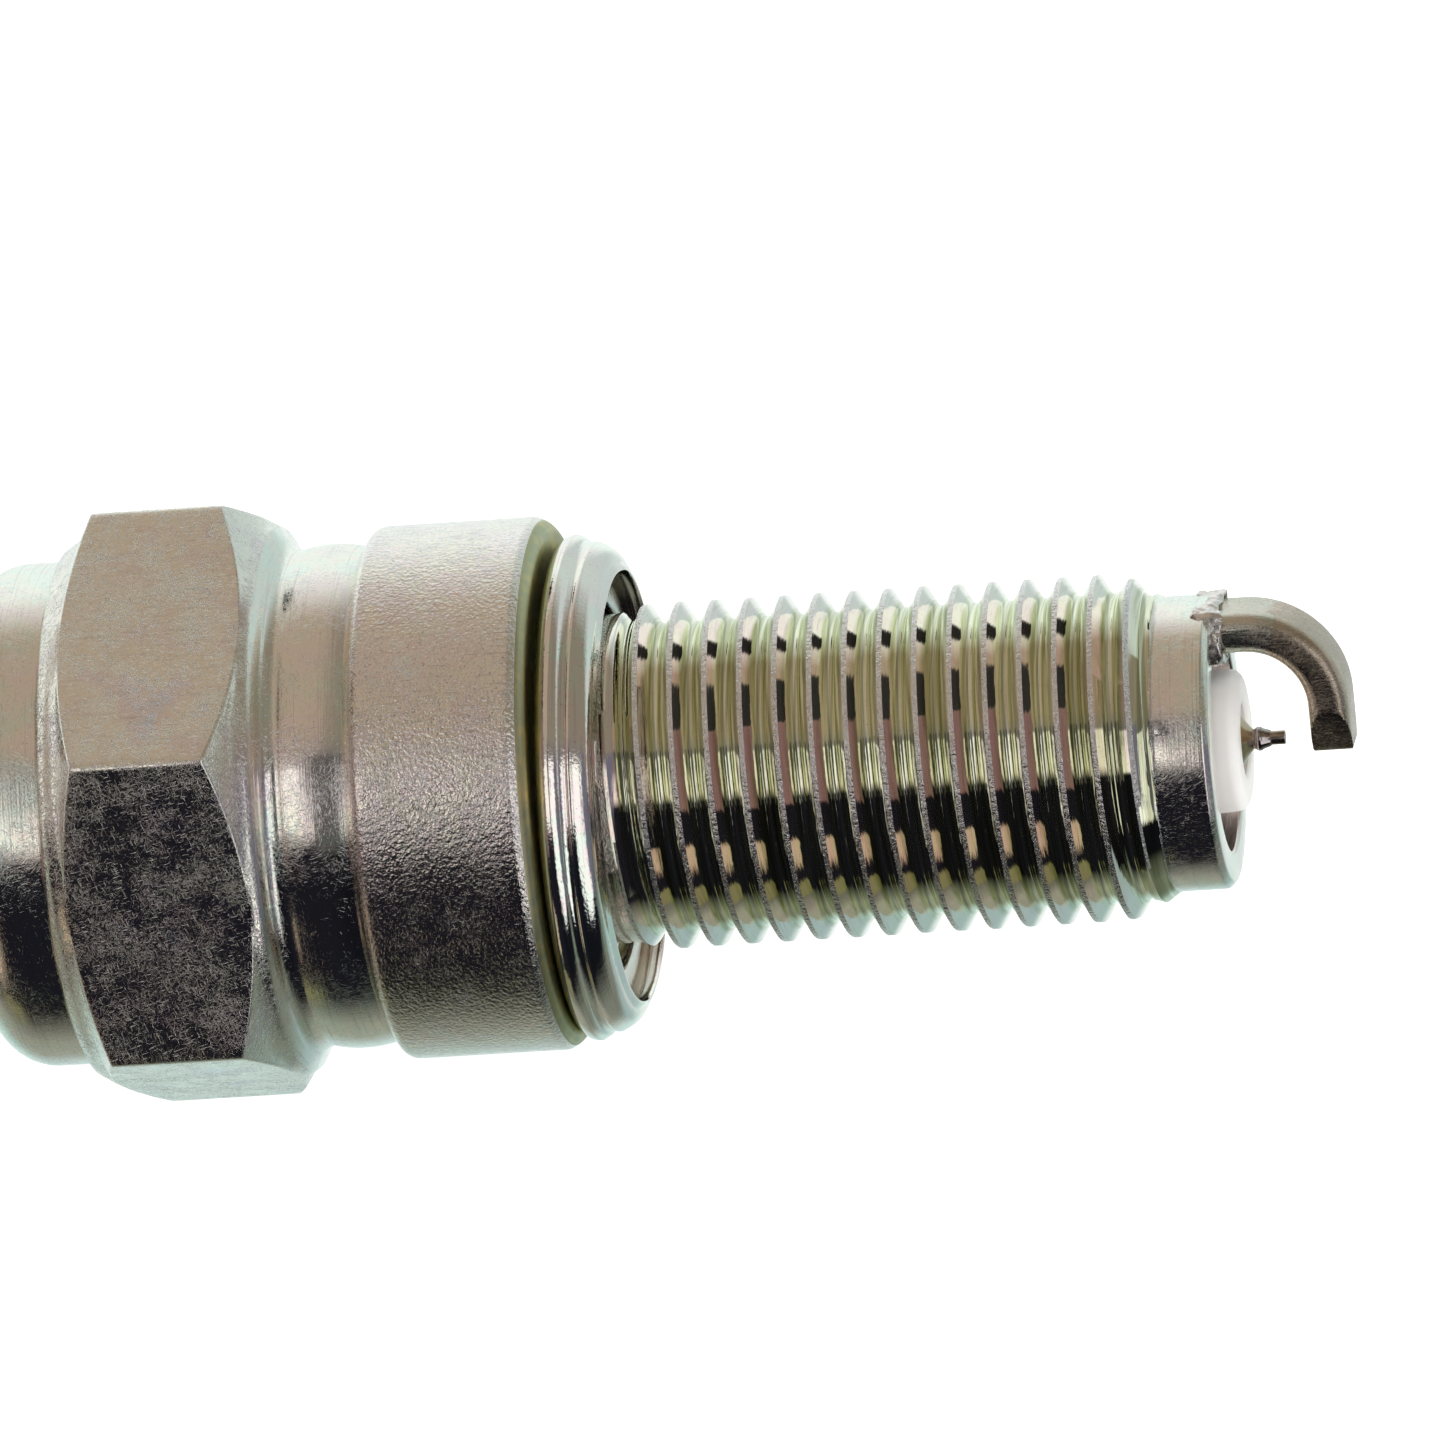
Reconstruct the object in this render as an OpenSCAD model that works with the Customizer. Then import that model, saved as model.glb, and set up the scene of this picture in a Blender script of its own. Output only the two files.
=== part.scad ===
// Spark plug, long reach, M10 x 1.0 thread and 16 mm hexagon, in millimetres.
// The plug lies on one flat of its hexagon. +X runs along the axis to the firing end, +Z is up.
// The origin is on the axis, in the plane of the shoulder that seats on the gasket.

/* [Thread and reach] */
// Outside diameter over the thread crests
thread_d = 9.86; // [9.79:0.01:9.97]
// Diameter at the thread roots
thread_root_d = 8.74; // [8.7:0.01:8.8]
// Distance from one crest to the next
pitch = 1; // [1:0.25:1]
// Width of the flat on each crest
crest_land = 0.15; // [0.1:0.01:0.18]
// Place of the first full crest, from the seat
first_crest = 2.55; // [2.5:0.01:2.6]
// Number of full crests
crests = 14; // [10:1:14]
// Diameter of the plain neck under the gasket
neck_d = 9.32; // [9.2:0.01:9.4]
// Diameter of the plain nose past the thread
nose_d = 8.4; // [8.3:0.01:8.5]
// Seat to the end face of the shell
reach = 18.95; // [18.9:0.01:19.05]

/* [Hexagon and body] */
// Hexagon, across the flats
hex_af = 15.9; // [15.8:0.01:16]
// Hexagon's full-height stretch, far end
hex_back = -12.7; // [-12.8:0.05:-12.6]
// Hexagon's full-height stretch, end nearest the thread
hex_front = -8.97; // [-9.05:0.01:-8.9]
// Diameter of the crimped collar and of the fillets' feet
collar_d = 14.44; // [14.4:0.01:14.5]
// Diameter of the round band behind the seat
band_d = 15.26; // [15.2:0.01:15.3]
// Length of the round band
band_len = 5.1; // [5:0.05:5.2]

/* [Sealing gasket] */
// Outside diameter of the large bead
gasket_d = 14.48; // [14.3:0.01:14.5]
// Inside diameter
gasket_hole_d = 10.02; // [10:0.01:10.1]
// Width along the plug's axis
gasket_w = 1.71; // [1.6:0.01:1.75]
// Thickness of the folded steel sheet
sheet_t = 0.32; // [0.28:0.01:0.34]
// Gap between the seat and the gasket's middle
gasket_gap = 0.12; // [0.11:0.01:0.2]
// Distance that the loose gasket hangs below the axis
gasket_drop = 0.3; // [0.2:0.01:0.31]
// Lean of the loose gasket, in degrees
gasket_lean = 0.8; // [0:0.1:0.8]

/* [Insulator] */
// Diameter of the smooth stretch outside the shell
insulator_d = 10.1; // [10:0.05:10.2]
// Diameter of the stretch inside the threaded shank
insulator_mid_d = 6.7; // [6.6:0.05:6.8]
// Diameter at the nose
insulator_nose_d = 4.04; // [4:0.01:4.1]
// How far the nose stands past the seat
insulator_front = 19.6; // [19.5:0.05:19.7]
// Far end of the insulator
insulator_back = -42.2; // [-42.4:0.1:-42]
// Number of ribs
ribs = 5; // [3:1:5]

/* [Electrodes] */
// Diameter of the centre electrode's shank
electrode_d = 2; // [1.9:0.05:2.05]
// Diameter of the fine wire tip
tip_d = 0.4; // [0.35:0.01:0.4]
// End of the fine wire tip, from the seat
tip_end = 20.63; // [20.5:0.01:20.7]
// Ground strap width
strap_w = 2.3; // [2.2:0.05:2.4]
// Ground strap thickness
strap_t = 1.15; // [1.1:0.01:1.2]
// Ground strap width at its tapered end
strap_end_w = 1; // [0.8:0.05:1.2]
// Outer face of the ground strap, out from the axis
strap_out = 3.86; // [3.8:0.01:3.9]
// Outer radius of the strap's bend
strap_bend_r = 2.92; // [2.85:0.01:3]
// How far the strap's end passes the axis
strap_past = 0.32; // [0.2:0.01:0.4]
// Turn of the strap about the plug's axis, from straight up
strap_turn = 35; // [0:1:360]

/* [Terminal] */
// Largest diameter of the terminal nut
nut_d = 6.35; // [6.3:0.01:6.4]
// Far end of the terminal nut
nut_back = -50.5; // [-50.7:0.1:-50.4]
// Diameter of the stud that the nut goes on
stud_d = 4; // [3.9:0.01:4]

/* [Hidden] */
fine = 96;
slack = 0.01;

// Shell, outside
thread_r = thread_d / 2;
root_r = thread_root_d / 2;
neck_r = neck_d / 2;
nose_r = nose_d / 2;
flank = (thread_r - root_r) * tan(30);
last_crest = first_crest + (crests - 1) * pitch;
fade_crest = last_crest + 0.9 * pitch;
fade_r = 4.78;
nose_start = 17.4;
nose_chamfer = 0.18;
nose_run = 0.15;
neck_end = first_crest - crest_land / 2 - flank - 0.05;
band_r = band_d / 2;
band_round = 0.5;
band_back_round = 0.35;
collar_r = collar_d / 2;
barrel_x = -6.35;
barrel_r = collar_r + 0.005;
barrel_bulge_r = 3.6;
barrel_back_sweep = 13.3;
barrel_front_sweep = 17.3;
barrel_start = -7.79;
hex_out_r = hex_af / sqrt(3) + 0.02;
hex_foot_x = -7.19;
hex_foot_r = collar_r - 0.11;
hex_fillet_r = 0.55;
hex_shoulder = [7.97, 0.82];
hex_step = [7.76, 1.14];
hex_back_shoulder = [7.97, 0.65];
hex_back_step = [7.6, 1.23];
hex_back_foot = 1.4;
hex_start = hex_back - 2;
hex_len = 12;
hex_core_r = 6.7;

// Shell, inside
crimp_centre = [5.58, -15.2];
crimp_sweep = 103;
upper_bore_r = 6.2;
upper_bore_end = -6.3;
mid_bore_r = 3.5;
mid_bore_start = -3.3;
ledge_r = 2.88;
ledge_x = 5.72;
ledge_end = 7;
fire_bore_r = 3.13;

// Insulator
insulator_r = insulator_d / 2;
mid_r = insulator_mid_d / 2;
shoulder_r = 5.9;
shoulder_back = -12;
shoulder_front = -6.6;
shoulder_run = 0.5;
cone_end = -3.6;
insulator_seat = 5.5;
leg_r = 2.75;
nose_round = 0.35;
bore_r = 1.95;
tip_bore_slack = 0.06;
tip_bore_r = electrode_d / 2 + tip_bore_slack;
bore_step = -2.75;
top_r = 3.3;
top_round = 1.2;
tip_bore_flare = 0.1;
seat_slack = 0.02;
rib_pitch = 2.5;
rib_root_r = 0.95;
rib_centre_r = 5.3;
first_rib_root = -40.6;

// Gasket: one steel sheet, hemmed at the inside and rolled into two beads at the outside
gasket_r = gasket_d / 2;
bead_a = 0.42;
bead_a_sweep = 75;
bead_b = 0.425;
bead_b_drop = 0.235;
bead_b_sweep = 80;
hem_r = 5.2;
hem_x = 2 * bead_a + slack;
hem_round = 0.1;
lip_r = 6.15;
lean_turn = 52;

// Packing above the insulator's shoulder
wire_r = 0.48;
wire_mid_r = 5.6;
upper_wire_x = -15.28;
lower_wire_x = -12.44;

// Conductor stack in the insulator's bore
stud_shank_r = 1.75;
stud_tip_r = 1.5;
stud_tip_x = -17.2;
stud_neck_x = -19.4;
stud_grooves = 4;
stud_flange_r = 3;
stud_flange_t = 0.7;
stud_end = -49.6;
stud_chamfer = 0.4;
stud_groove = 0.2;
seal_top = -19;
resistor_top = -15;
resistor_end = -7;
head_r = 1.6;
head_top = -3.4;
core_r = 0.55;
core_start = -1.4;
core_end = 15;

// Electrode tip
cone_start = [electrode_d / 2, 19.1];
cone_mid = [0.66, 19.4];
cone_tip = [0.29, 19.7];
bead_r = 0.33;
bead_start = 19.84;
bead_end = [0.27, 20.13];
weld_end = 20.23;
tip_start = 20;

// Ground strap and its weld
strap_bend_x = 19.79;
strap_bend_q = strap_out - strap_bend_r;
taper_start = 1.15;
weld_out_r = 4.42;
weld_in_r = 3.2;
weld_core_r = nose_r - 0.5;
weld_from = 18.55;
weld_to = 19.4;
weld_w = 2.9;
weld_foot_r = nose_r + 0.05;
weld_foot_run = 0.25;
weld_top_run = 0.3;

// Terminal nut
nut_front = insulator_back - stud_flange_t - 0.05;
nut_r = nut_d / 2;
nut_bore_r = stud_d / 2 + 0.04;
nut_waist_r = 2.6;
nut_head_len = 2;
nut_skirt_len = 2.4;
nut_round = 0.4;
nut_chamfer = 0.3;
nut_edge = 0.2;

// A profile is a list of [distance from the axis, place along the axis].
function arc(c, r, from, to, n = 8) =
    [for (i = [0:n]) let (a = from + (to - from) * i / n) c + r * [cos(a), sin(a)]];

module revolve(profile) {
    rotate([0, 90, 0])
        rotate_extrude($fn = fine)
            polygon(profile);
}

module rod(r, from, to) {
    translate([from, 0, 0])
        rotate([0, 90, 0])
            cylinder(r = r, h = to - from, $fn = fine);
}

function crest(x, r) = let (half = crest_land / 2, run = (r - root_r) * tan(30)) [
    [root_r, x - half - run],
    [r, x - half],
    [r, x + half],
    [root_r, x + half + run]
];

// The shell's wall: crimped lip, collar, barrel neck, round band, seat, thread and nose, then back inside
shell_profile = concat(
    arc(crimp_centre, collar_r - crimp_centre[0], -crimp_sweep, 0, 10),
    [[collar_r, barrel_start]],
    arc([barrel_r - barrel_bulge_r, barrel_x], barrel_bulge_r, -barrel_back_sweep, barrel_front_sweep),
    arc([band_r - band_back_round, band_back_round - band_len], band_back_round, -90, 0),
    arc([band_r - band_round, -band_round], band_round, 0, 90),
    [[neck_r, 0], [neck_r, neck_end]],
    [for (i = [0:crests - 1]) each crest(first_crest + i * pitch, thread_r)],
    crest(fade_crest, fade_r),
    [[root_r, nose_start - nose_run], [nose_r, nose_start]],
    [[nose_r, reach - nose_chamfer], [nose_r - nose_chamfer, reach]],
    [[fire_bore_r, reach], [fire_bore_r, ledge_end + fire_bore_r - ledge_r]],
    [[ledge_r, ledge_end], [ledge_r, ledge_x + mid_bore_r - ledge_r]],
    [[mid_bore_r, ledge_x], [mid_bore_r, mid_bore_start]],
    [[upper_bore_r, upper_bore_end]],
    arc(crimp_centre, upper_bore_r - crimp_centre[0], 0, -crimp_sweep)
);

// Outline that turns the hexagon's corners down at both ends
hex_profile = concat(
    [[hex_core_r, hex_back - hex_back_foot], [collar_r, hex_back - hex_back_foot]],
    [[hex_back_step[0], hex_back - hex_back_step[1]]],
    [[hex_back_shoulder[0], hex_back - hex_back_shoulder[1]]],
    [[hex_out_r, hex_back], [hex_out_r, hex_front]],
    [[hex_shoulder[0], hex_front + hex_shoulder[1]], [hex_step[0], hex_front + hex_step[1]]],
    arc([hex_foot_r + hex_fillet_r, hex_foot_x], hex_fillet_r, 240, 180),
    [[hex_core_r, hex_foot_x]]
);

module shell() {
    color("silver") {
        revolve(shell_profile);
        intersection() {
            translate([hex_start, 0, 0])
                rotate([0, 90, 0])
                    rotate([0, 0, 30])
                        cylinder(r = hex_af / sqrt(3), h = hex_len, $fn = 6);
            revolve(hex_profile);
        }
    }
}

gasket_profile = concat(
    [[gasket_hole_d / 2, 0]],
    arc([gasket_r - bead_a, bead_a], bead_a, -90, bead_a_sweep),
    arc([gasket_r - bead_b_drop - bead_b, gasket_w - bead_b], bead_b, -bead_b_sweep, 90),
    [[lip_r, gasket_w], [lip_r, gasket_w - sheet_t]],
    arc([gasket_r - bead_b_drop - bead_b, gasket_w - bead_b], bead_b - sheet_t, 90, -90),
    [[hem_r + hem_round, hem_x + sheet_t], [hem_r, hem_x + sheet_t - hem_round]],
    [[hem_r, hem_x - sheet_t + hem_round], [hem_r + hem_round, hem_x - sheet_t]],
    arc([gasket_r - bead_a, bead_a], bead_a - sheet_t, 90, -90),
    [[gasket_hole_d / 2, sheet_t]]
);

module sealing_gasket() {
    color("lightsteelblue")
        translate([gasket_gap, 0, -gasket_drop])
            rotate([-lean_turn, 0, 0])
                rotate([0, gasket_lean, 0])
                    rotate([lean_turn, 0, 0])
                        revolve(gasket_profile);
}

insulator_profile = concat(
    [[bore_r, insulator_back], [top_r, insulator_back]],
    arc([insulator_r - top_round, insulator_back + top_round], top_round, -60, 0, 5),
    [[insulator_r, shoulder_back], [shoulder_r, shoulder_back + shoulder_run]],
    [[shoulder_r, shoulder_front], [mid_r, cone_end]],
    [[mid_r, insulator_seat], [leg_r, insulator_seat + mid_r - leg_r]],
    arc([insulator_nose_d / 2 - nose_round, insulator_front - nose_round], nose_round, 0, 90),
    [[tip_bore_r + tip_bore_flare, insulator_front], [tip_bore_r, insulator_front - tip_bore_flare]],
    [[tip_bore_r, bore_step + bore_r - tip_bore_r], [bore_r, bore_step]]
);

module insulator() {
    color("white")
        rotate([0, 90, 0])
            rotate_extrude($fn = fine)
                difference() {
                    polygon(insulator_profile);
                    for (i = [0:ribs])
                        translate([rib_centre_r, first_rib_root + i * rib_pitch])
                            circle(r = rib_root_r, $fn = 48);
                }
}

module seat_washer() {
    lower = ledge_r + 2 * seat_slack;
    upper = mid_r - seat_slack;
    color("gray")
        revolve([
            [upper, insulator_seat + mid_r - upper],
            [lower, insulator_seat + mid_r - lower],
            [lower, ledge_x + mid_bore_r - lower],
            [mid_bore_r - seat_slack, ledge_x + seat_slack]
        ]);
}

module packing_ring(x) {
    rotate([0, 90, 0])
        rotate_extrude($fn = fine)
            translate([wire_mid_r, x])
                circle(r = wire_r, $fn = 48);
}

module lower_packing_ring() {
    color("dimgray") packing_ring(lower_wire_x);
}

module upper_packing_ring() {
    color("dimgray") packing_ring(upper_wire_x);
}

module talc_packing() {
    color("ivory")
        difference() {
            rod(upper_bore_r - slack, upper_wire_x + wire_r, lower_wire_x - wire_r);
            rod(insulator_r + slack, upper_wire_x, lower_wire_x);
        }
}

module terminal_stud() {
    flange_x = insulator_back - stud_flange_t;
    groove_step = (stud_tip_x - stud_neck_x) / stud_grooves;
    color("gainsboro")
        revolve(concat(
            [[0, stud_end], [stud_d / 2 - stud_chamfer, stud_end], [stud_d / 2, stud_end + stud_chamfer]],
            [[stud_d / 2, flange_x], [stud_flange_r, flange_x], [stud_flange_r, insulator_back]],
            [[stud_shank_r, insulator_back], [stud_shank_r, stud_neck_x]],
            [for (i = [0:stud_grooves - 1]) each [
                [stud_tip_r - stud_groove, stud_neck_x + (i + 0.15) * groove_step],
                [stud_tip_r, stud_neck_x + (i + 0.5) * groove_step],
                [stud_tip_r, stud_neck_x + (i + 0.95) * groove_step]
            ]],
            [[0, stud_tip_x]]
        ));
}

module terminal_nut() {
    head_end = nut_back + nut_head_len;
    skirt_start = nut_front - nut_skirt_len;
    color("silver")
        revolve(concat(
            [[nut_bore_r, nut_front], [nut_bore_r, nut_back + nut_chamfer], [nut_bore_r + nut_chamfer, nut_back]],
            arc([nut_r - nut_round, nut_back + nut_round], nut_round, -90, 0, 6),
            [[nut_r, head_end - nut_chamfer], [nut_waist_r, head_end + nut_chamfer]],
            [[nut_waist_r, skirt_start - nut_chamfer], [nut_r, skirt_start + nut_chamfer]],
            [[nut_r, nut_front - nut_edge], [nut_r - nut_edge, nut_front]]
        ));
}

module upper_glass_seal() {
    color("darkolivegreen")
        difference() {
            rod(bore_r - slack, seal_top, resistor_top);
            rod(stud_tip_r + slack, seal_top - 1, stud_tip_x + slack);
        }
}

module resistor() {
    color("darkslategray") rod(bore_r - slack, resistor_top, resistor_end);
}

module lower_glass_seal() {
    color("darkolivegreen")
        difference() {
            rod(bore_r - slack, resistor_end, bore_step);
            rod(head_r + slack, head_top, 0);
        }
}

module centre_electrode() {
    shank_r = electrode_d / 2;
    seat_x = bore_step + bore_r - head_r - slack;
    color("saddlebrown")
        difference() {
            revolve([
                [0, head_top], [head_r, head_top], [head_r, seat_x],
                [shank_r, seat_x + head_r - shank_r], cone_start, cone_mid, cone_tip,
                [0, cone_tip[1]]
            ]);
            rod(core_r, core_start, core_end);
        }
}

module copper_core() {
    color("peru") rod(core_r, core_start, core_end);
}

module tip_weld() {
    color("dimgray")
        revolve([
            [0, cone_tip[1]], cone_tip, [bead_r, bead_start], [bead_r, tip_start],
            bead_end, [tip_d / 2 + 2 * slack, weld_end], [tip_d / 2, weld_end],
            [tip_d / 2, tip_start], [0, tip_start]
        ]);
}

module iridium_tip() {
    color("lightgray") rod(tip_d / 2, tip_start, tip_end);
}

// The strap's bar as it leaves the shell, bends over and stops past the axis: x along, y out
module strap_side() {
    inner_r = strap_bend_r - strap_t;
    translate([reach, strap_out - strap_t])
        square([strap_bend_x - reach, strap_t]);
    translate([strap_bend_x + inner_r, -strap_past])
        square([strap_t, strap_bend_q + strap_past]);
    translate([strap_bend_x, strap_bend_q])
        intersection() {
            difference() {
                circle(r = strap_bend_r, $fn = fine);
                circle(r = inner_r, $fn = fine);
            }
            square(strap_bend_r + 1);
        }
}

module strap_plan() {
    polygon([
        [-strap_w / 2, strap_out + 1], [-strap_w / 2, taper_start],
        [-strap_end_w / 2, -strap_past - 0.01], [strap_end_w / 2, -strap_past - 0.01],
        [strap_w / 2, taper_start], [strap_w / 2, strap_out + 1]
    ]);
}

module strap() {
    rotate([-strap_turn, 0, 0])
        intersection() {
            rotate([90, 0, 0])
                linear_extrude(strap_w + 1, center = true)
                    strap_side();
            translate([reach - 1, 0, 0])
                rotate([90, 0, 90])
                    linear_extrude(strap_bend_r + 5)
                        strap_plan();
        }
}

module ground_electrode() {
    color("tan") strap();
}

// Flash that the welding pushes out round the strap's root, over the shell's rim
module ground_weld() {
    color("rosybrown")
        difference() {
            intersection() {
                revolve([
                    [weld_in_r, reach], [weld_core_r, weld_from], [weld_foot_r, weld_from],
                    [weld_out_r, weld_from + weld_foot_run], [weld_out_r, weld_to - weld_top_run],
                    [weld_out_r - weld_top_run, weld_to], [weld_in_r, weld_to]
                ]);
                rotate([-strap_turn, 0, 0])
                    translate([weld_from - 1, -weld_w / 2, 0])
                        cube([3, weld_w, 6]);
            }
            rod(nose_r, weld_from - 1, reach);
            rotate([-strap_turn, 0, 0])
                translate([reach - 0.5, -strap_w / 2, 0])
                    cube([3, strap_w, strap_out]);
        }
}

shell();
sealing_gasket();
insulator();
seat_washer();
lower_packing_ring();
talc_packing();
upper_packing_ring();
terminal_stud();
terminal_nut();
upper_glass_seal();
resistor();
lower_glass_seal();
centre_electrode();
copper_core();
tip_weld();
iridium_tip();
ground_electrode();
ground_weld();
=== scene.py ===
"""Spark plug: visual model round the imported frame, in metres, +X to the firing end, +Z up.

Shapes are given in millimetres as (place along the axis, distance from the axis), the way a
lathe works, and the angle psi runs round the axis from the side that faces up in the picture.
"""

import math

import bmesh
import bpy
import numpy as np
from mathutils import Matrix


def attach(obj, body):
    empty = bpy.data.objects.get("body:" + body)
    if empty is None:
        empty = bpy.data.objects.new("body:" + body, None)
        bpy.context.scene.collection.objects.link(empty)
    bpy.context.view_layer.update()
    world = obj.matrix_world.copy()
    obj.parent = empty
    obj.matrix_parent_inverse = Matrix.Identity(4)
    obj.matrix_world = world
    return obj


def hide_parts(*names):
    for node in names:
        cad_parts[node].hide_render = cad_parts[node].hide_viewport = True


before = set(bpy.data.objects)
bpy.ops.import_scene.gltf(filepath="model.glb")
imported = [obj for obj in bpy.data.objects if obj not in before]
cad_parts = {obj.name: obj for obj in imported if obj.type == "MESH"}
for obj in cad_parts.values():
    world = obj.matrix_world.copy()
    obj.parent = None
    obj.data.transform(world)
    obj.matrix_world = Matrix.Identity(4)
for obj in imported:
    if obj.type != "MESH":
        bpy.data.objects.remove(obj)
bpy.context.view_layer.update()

MM = 0.001
PSI_TOP = 52.0  # world angle, from +Z towards +Y, of the side that faces up in the picture
BAND_R = 7.63

# ---------------------------------------------------------------- camera
CAM_AZIMUTH, CAM_ELEVATION, CAM_ROLL = 14.16, 51.14, -14.73
CAM_AIM = (4.372, 1.695, 0.6)  # mm along the camera's right, up and back directions
CAM_DISTANCE = 490.73
CAM_LENS = 428.8


def camera_axes():
    az, el, roll = (math.radians(a) for a in (CAM_AZIMUTH, CAM_ELEVATION, CAM_ROLL))
    level = np.array([math.cos(az), math.sin(az), 0.0])
    rise = np.array([-math.sin(az) * math.sin(el), math.cos(az) * math.sin(el), math.cos(el)])
    right = math.cos(roll) * level + math.sin(roll) * rise
    up = -math.sin(roll) * level + math.cos(roll) * rise
    return np.array([right, up, np.cross(right, up)])


def make_camera():
    axes = camera_axes()
    data = bpy.data.cameras.new("camera")
    data.lens = CAM_LENS
    data.sensor_width = 36
    data.clip_start = 0.01
    data.clip_end = 20
    camera = bpy.data.objects.new("camera", data)
    bpy.context.scene.collection.objects.link(camera)
    place = (np.array(CAM_AIM) + [0, 0, CAM_DISTANCE]) @ axes * MM
    matrix = np.eye(4)
    matrix[:3, :3] = axes.T
    matrix[:3, 3] = place
    camera.matrix_world = Matrix(matrix.tolist())
    bpy.context.scene.camera = camera


make_camera()


# ---------------------------------------------------------------- node helpers
def add(tree, kind, inputs=None, **settings):
    """A node with its settings; an input given as a socket is linked, any other is set."""
    node = tree.nodes.new(kind)
    for key, value in settings.items():
        setattr(node, key, value)
    for key, value in (inputs or {}).items():
        if isinstance(value, bpy.types.NodeSocket):
            tree.links.new(value, node.inputs[key])
        else:
            node.inputs[key].default_value = value
    return node


def maths(tree, operation, a, b=0.0, c=0.0):
    return add(tree, "ShaderNodeMath", {0: a, 1: b, 2: c}, operation=operation).outputs[0]


def spread(tree, value, low, high, to_low=0.0, to_high=1.0, smooth=False):
    """value, mapped from low..high to to_low..to_high and held there."""
    kind = "SMOOTHSTEP" if smooth else "LINEAR"
    inputs = {"Value": value, "From Min": low, "From Max": high, "To Min": to_low, "To Max": to_high}
    return add(tree, "ShaderNodeMapRange", inputs, interpolation_type=kind).outputs["Result"]


def mix(tree, factor, a, b, blend="MIX"):
    node = add(tree, "ShaderNodeMix", data_type="RGBA", blend_type=blend)
    for key, value in ((0, factor), (6, a), (7, b)):
        if isinstance(value, bpy.types.NodeSocket):
            tree.links.new(value, node.inputs[key])
        else:
            node.inputs[key].default_value = value if key == 0 else (*value, 1.0)
    return node.outputs[2]


def ramp(tree, factor, stops):
    """Colour ramp from (position, colour) stops."""
    node = add(tree, "ShaderNodeValToRGB", {"Fac": factor})
    while len(node.color_ramp.elements) < len(stops):
        node.color_ramp.elements.new(0.5)
    for element, (position, colour) in zip(node.color_ramp.elements, stops):
        element.position = position
        element.color = (*colour, 1.0)
    return node.outputs["Color"]


def noise(tree, coords, scale, detail=2.0, rough=0.5, stretch=(1, 1, 1), shift=0.0):
    """Noise with `scale` features a metre, drawn out along an axis where stretch is small."""
    place = add(tree, "ShaderNodeMapping", {"Vector": coords, "Scale": stretch, "Location": (shift,) * 3})
    inputs = {"Vector": place.outputs[0], "Scale": scale, "Detail": detail, "Roughness": rough}
    return add(tree, "ShaderNodeTexNoise", inputs).outputs["Fac"]


def bump(tree, height, depth_um, below=None):
    """Surface relief whose height of 0..1 stands for depth_um thousandths of a millimetre."""
    inputs = {"Height": height, "Distance": depth_um * 1e-6, "Strength": 1.0}
    if below is not None:
        inputs["Normal"] = below
    return add(tree, "ShaderNodeBump", inputs).outputs["Normal"]


def new_material(name):
    material = bpy.data.materials.new(name)
    material.use_nodes = True
    tree = material.node_tree
    shader = tree.nodes["Principled BSDF"]
    coords = add(tree, "ShaderNodeTexCoord").outputs["Object"]
    return material, tree, shader, coords


def wire(tree, shader, **inputs):
    for key, value in inputs.items():
        socket = shader.inputs[key.replace("_", " ")]
        if isinstance(value, bpy.types.NodeSocket):
            tree.links.new(value, socket)
        elif isinstance(value, tuple):
            socket.default_value = (*value, 1.0)
        else:
            socket.default_value = value


# ---------------------------------------------------------------- materials
MINT_EDGE = (0.96, 1.0, 0.975)
ROUND = (1.0, 0.02, 0.02)  # stretch of marks that run round the axis, as turning leaves them
ALONG = (0.12, 1.0, 1.0)  # stretch of marks that run along the axis, as drawing leaves them
EVEN = (1.0, 1.0, 1.0)
SLATE = (0.78, 0.85, 0.93)
PIT_TONE = (0.22, 0.20, 0.19)
GROOVE_TONE = (0.45, 0.40, 0.38)
STREAK_TURNS = (12, 48, 75, 110, 152)  # degrees
STREAK_LENGTH = 9  # times its width
ROOT_SHADE_FROM, ROOT_SHADE_TO = 4.50, 4.62  # distance from the axis over which the root's painted shade and painted ring highlights end


def unrolled(tree, coords):
    """The surface laid flat: place along the axis, then distance round it at the band's radius."""
    split = add(tree, "ShaderNodeSeparateXYZ", {0: coords})
    angle = maths(tree, "ARCTAN2", split.outputs[1], split.outputs[2])
    parts = {0: split.outputs[0], 1: maths(tree, "MULTIPLY", angle, BAND_R * MM)}
    return add(tree, "ShaderNodeCombineXYZ", parts).outputs[0]


def scratches(tree, coords):
    """Short straight marks at odd angles and fine scuffs, both thicker in patches, and 0 between them."""
    flat = unrolled(tree, coords)
    patch = spread(tree, noise(tree, coords, 900, 4.0, 0.7, shift=0.09), 0.32, 0.66)
    scuff = spread(tree, noise(tree, coords, 14000, 3.0, 0.7, shift=0.41), 0.50, 0.66)
    total = maths(tree, "MULTIPLY", scuff, patch)
    for turn in STREAK_TURNS:
        place = add(tree, "ShaderNodeMapping", {"Vector": flat, "Rotation": (0, 0, math.radians(turn)),
                    "Scale": (STREAK_LENGTH, 1, 1), "Location": (turn * MM, 0, 0)}, vector_type="TEXTURE")
        inputs = {"Vector": place.outputs[0], "Scale": 25000, "Detail": 1.0, "Roughness": 0.5}
        streak = add(tree, "ShaderNodeTexNoise", inputs).outputs["Fac"]
        streak = maths(tree, "MULTIPLY", spread(tree, streak, 0.63, 0.73), maths(tree, "ADD", patch, 0.3))
        total = maths(tree, "MAXIMUM", total, streak)
    return total


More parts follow.
